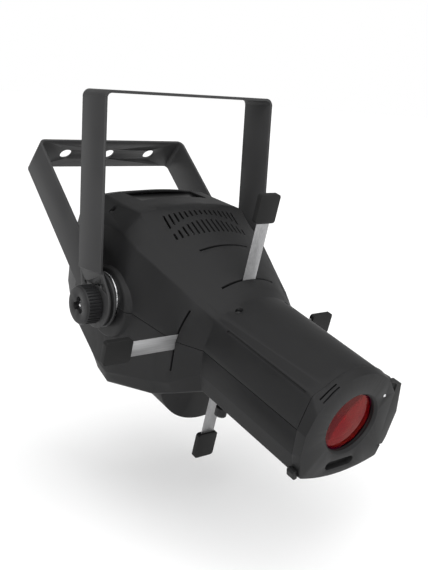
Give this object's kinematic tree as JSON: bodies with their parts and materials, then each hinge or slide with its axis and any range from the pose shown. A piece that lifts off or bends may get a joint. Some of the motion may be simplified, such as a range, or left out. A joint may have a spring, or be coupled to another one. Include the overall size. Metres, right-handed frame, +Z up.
{
  "type": "ellipsoidal spotlight",
  "caption": "Stage spotlight with a twin hanging bracket, framing shutters, a sliding focus lens and a filter slot, for projecting a shaped beam.",
  "frame": {"origin": "centre of the clamp bolt hole, on the top face of the front bracket's crossbar", "axes": "+Z up out of the crossbar, +X along the tilt axis, the lens looks towards -Y"},
  "size_m": [0.2956, 0.4486, 0.3797],
  "materials": {
    "bracket_steel": "satin black powder coat",
    "black_metal": "matte black",
    "black_screw": "satin black",
    "bright_screw": "bright",
    "polished_steel": "polished",
    "zinc_steel": "zinc plated",
    "brushed_steel": "brushed",
    "raw_aluminium": "raw extrusion",
    "reflector_metal": "bright faceted",
    "shell_plastic": "fine texture, matte black",
    "black_plastic": "matte black",
    "handle_plastic": "satin black",
    "knob_plastic": "satin black",
    "button_plastic": "semi-gloss",
    "socket_plastic": "semi-gloss black",
    "inlet_plastic": "semi-gloss blue",
    "circuit_board": "solder mask green",
    "emitter": "phosphor yellow",
    "display_glass": "smoked",
    "clear_glass": "polished",
    "coated_glass": "polished, red coating",
    "filter_glass": "dichroic red"
  },
  "bodies": {
    "front_bracket": {"front_bracket": "bracket_steel", "bracket_spacers": "black_plastic"},
    "rear_bracket": {"rear_bracket": "bracket_steel"},
    "lamp": {"friction_discs": "polished_steel", "pivot_bolts": "zinc_steel", "upper_shell": "shell_plastic", "lower_shell": "shell_plastic", "rear_cover": "shell_plastic", "display_window": "display_glass", "data_input_socket": "socket_plastic", "data_output_socket": "socket_plastic", "power_inlet": "inlet_plastic", "power_outlet": "socket_plastic", "fuse_holder": "black_plastic", "safety_tab": "bracket_steel", "fan_frame": "black_plastic", "heatsink": "raw_aluminium", "led_board": "circuit_board", "led_emitter": "emitter", "power_board": "circuit_board", "control_board": "circuit_board", "reflector": "reflector_metal", "optics_posts": "zinc_steel", "condenser_holder": "black_metal", "condenser_lens": "clear_glass", "gate_rear_plate": "black_metal", "gate_front_plate": "black_metal", "gate_spacers": "zinc_steel", "guide_rods": "polished_steel", "front_collar": "shell_plastic", "shell_screws": "black_screw", "collar_screws": "bright_screw", "rear_cover_screws": "black_screw"},
    "left_knob": {"left_knob": "knob_plastic"},
    "right_knob": {"right_knob": "knob_plastic"},
    "fan_rotor": {"fan_rotor": "black_plastic"},
    "lens_carriage": {"lens_carriage": "black_metal", "front_lens": "coated_glass", "rear_lens": "clear_glass", "lens_spacer_tube": "black_metal"},
    "focus_knob": {"focus_knob": "knob_plastic"},
    "filter": {"filter_frame": "black_metal", "filter_glass": "filter_glass"},
    "menu_button": {"menu_button": "button_plastic"},
    "down_button": {"down_button": "button_plastic"},
    "up_button": {"up_button": "button_plastic"},
    "enter_button": {"enter_button": "button_plastic"},
    "top_shutter": {"top_shutter_blade": "brushed_steel", "top_shutter_handle": "handle_plastic"},
    "bottom_shutter": {"bottom_shutter_blade": "brushed_steel", "bottom_shutter_handle": "handle_plastic"},
    "left_shutter": {"left_shutter_blade": "brushed_steel", "left_shutter_handle": "handle_plastic"},
    "right_shutter": {"right_shutter_blade": "brushed_steel", "right_shutter_handle": "handle_plastic"}
  },
  "joints": [
    {"name": "lamp_tilt", "type": "hinge", "parent": "front_bracket", "child": "lamp", "pos_m": [0, -0.008, -0.2144], "axis": [1, 0, 0], "range_deg": [-70, 75]},
    {"name": "rear_bracket_fold", "type": "hinge", "parent": "front_bracket", "child": "rear_bracket", "pos_m": [0, -0.008, -0.2144], "axis": [1, 0, 0], "range_deg": [-100, 47]},
    {"name": "left_knob_turn", "type": "hinge", "parent": "lamp", "child": "left_knob", "pos_m": [0, -0.008, -0.2144], "axis": [-1, 0, 0], "continuous": true},
    {"name": "right_knob_turn", "type": "hinge", "parent": "lamp", "child": "right_knob", "pos_m": [0, -0.008, -0.2144], "axis": [1, 0, 0], "continuous": true},
    {"name": "fan_spin", "type": "hinge", "parent": "lamp", "child": "fan_rotor", "pos_m": [0, 0.06564, -0.1643], "axis": [0, -0.9709, -0.2396], "continuous": true},
    {"name": "focus_slide", "type": "slide", "parent": "lamp", "child": "lens_carriage", "axis": [0, -0.9709, -0.2396], "range_m": [-0.018, 0.006]},
    {"name": "focus_knob_turn", "type": "hinge", "parent": "lens_carriage", "child": "focus_knob", "pos_m": [-0.038, -0.14044, -0.29755], "axis": [0, -0.2396, 0.9709], "continuous": true},
    {"name": "filter_slide", "type": "slide", "parent": "lamp", "child": "filter", "axis": [1, 0, 0], "range_m": [0, 0.1]},
    {"name": "menu_button_press", "type": "slide", "parent": "lamp", "child": "menu_button", "axis": [0, -0.9709, -0.2396], "range_m": [0, 0.001], "stiffness_N_per_m": 400, "springref_m": -0.0005},
    {"name": "down_button_press", "type": "slide", "parent": "lamp", "child": "down_button", "axis": [0, -0.9709, -0.2396], "range_m": [0, 0.001], "stiffness_N_per_m": 400, "springref_m": -0.0005},
    {"name": "up_button_press", "type": "slide", "parent": "lamp", "child": "up_button", "axis": [0, -0.9709, -0.2396], "range_m": [0, 0.001], "stiffness_N_per_m": 400, "springref_m": -0.0005},
    {"name": "enter_button_press", "type": "slide", "parent": "lamp", "child": "enter_button", "axis": [0, -0.9709, -0.2396], "range_m": [0, 0.001], "stiffness_N_per_m": 400, "springref_m": -0.0005},
    {"name": "top_shutter_slide", "type": "slide", "parent": "lamp", "child": "top_shutter", "axis": [0, 0.2396, -0.9709], "range_m": [-0.006, 0.034]},
    {"name": "bottom_shutter_slide", "type": "slide", "parent": "lamp", "child": "bottom_shutter", "axis": [0, -0.2396, 0.9709], "range_m": [-0.008, 0.032]},
    {"name": "left_shutter_slide", "type": "slide", "parent": "lamp", "child": "left_shutter", "axis": [1, 0, 0], "range_m": [-0.003, 0.037]},
    {"name": "right_shutter_slide", "type": "slide", "parent": "lamp", "child": "right_shutter", "axis": [-1, 0, 0], "range_m": [-0.016, 0.024]}
  ]
}
